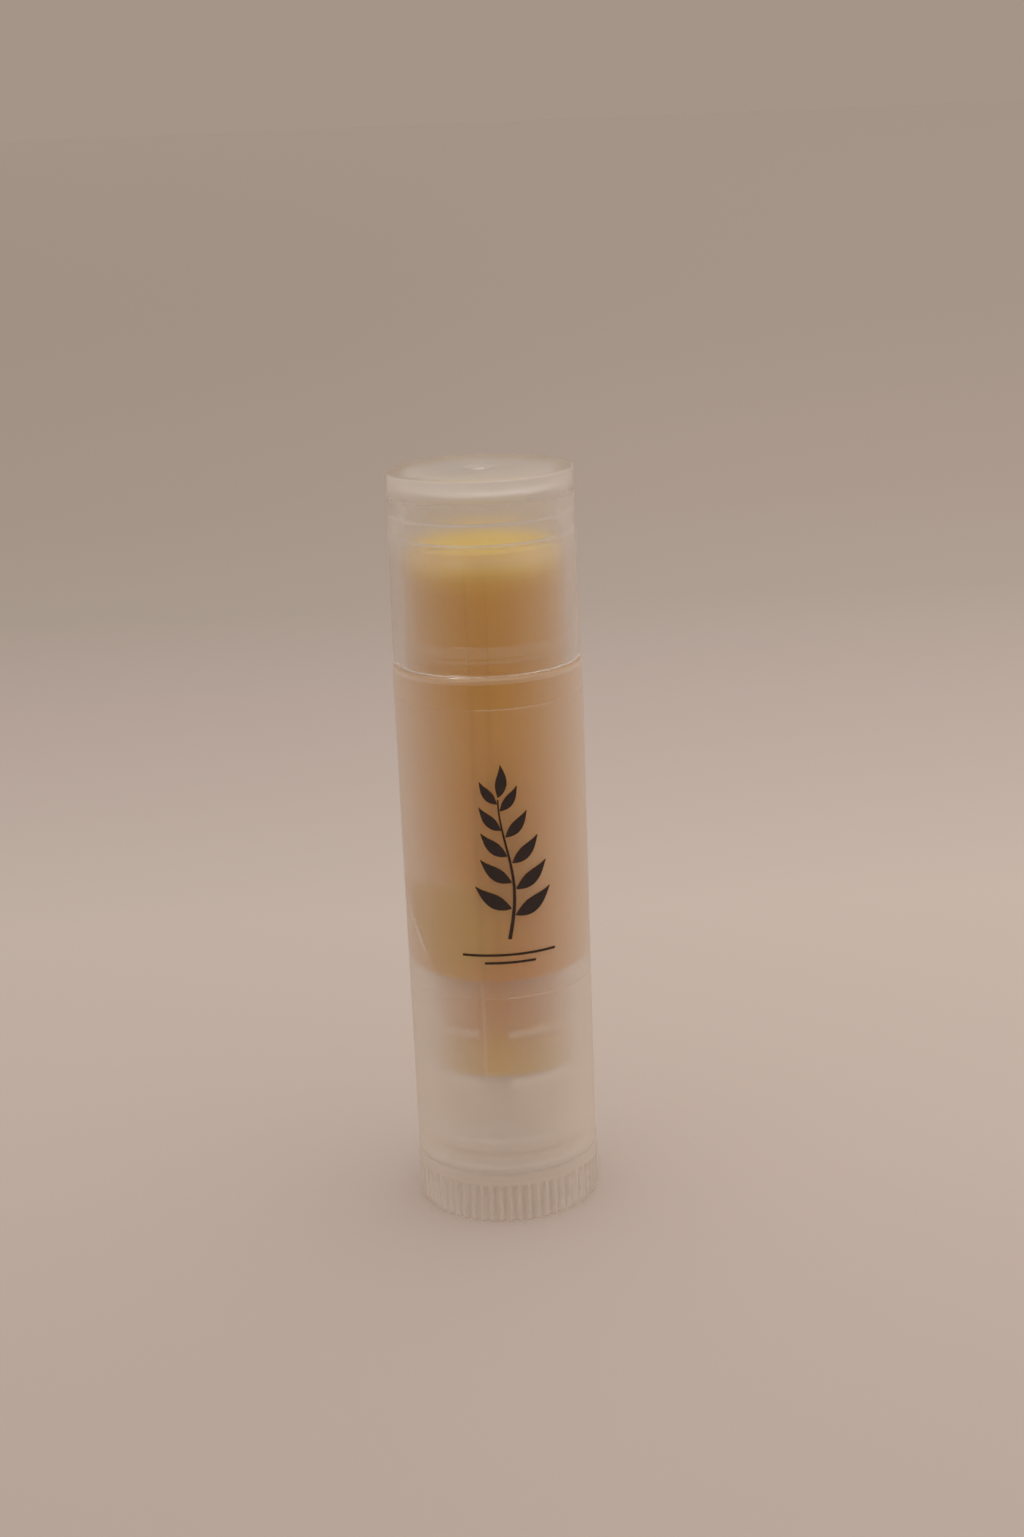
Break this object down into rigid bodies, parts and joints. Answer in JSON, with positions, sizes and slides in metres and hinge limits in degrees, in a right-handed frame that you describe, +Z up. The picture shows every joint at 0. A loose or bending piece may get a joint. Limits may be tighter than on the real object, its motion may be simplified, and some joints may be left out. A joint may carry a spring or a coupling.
{
  "type": "lip balm stick",
  "caption": "Screw-up lip balm stick in a translucent tube with a push-on cap, a fluted dial at its foot, a sliding elevator cup and a clear label.",
  "frame": {"origin": "centre of the dial's foot, where the stick stands on a table", "axes": "+Z up along the stick's axis, from the dial to the cap; -Y is the side that the label faces in the picture"},
  "size_m": [0.0164, 0.0162, 0.065],
  "materials": {
    "cap_polypropylene": "satin",
    "barrel_polypropylene": "satin",
    "label_film": "gloss",
    "elevator_polypropylene": "satin",
    "balm_wax": "satin",
    "dial_polypropylene": "satin"
  },
  "bodies": {
    "barrel": {"barrel": "barrel_polypropylene", "label": "label_film"},
    "dial": {"dial_screw": "dial_polypropylene"},
    "elevator": {"elevator": "elevator_polypropylene", "balm": "balm_wax"},
    "cap": {"cap": "cap_polypropylene"}
  },
  "joints": [
    {"name": "dial_turn", "type": "hinge", "parent": "barrel", "child": "dial", "pos_m": [0, 0, 0], "axis": [0, 0, 1], "range_deg": [0, 3240]},
    {"name": "elevator_rise", "type": "slide", "parent": "barrel", "child": "elevator", "axis": [0, 0, 1], "range_m": [0, 0.036]},
    {"name": "cap_pull", "type": "slide", "parent": "elevator", "child": "cap", "axis": [0, 0, 1], "range_m": [0, 0.025]}
  ],
  "couplings": [
    {"joint": "dial_turn", "follows": "elevator_rise", "rad_per_m": 1570.8}
  ]
}
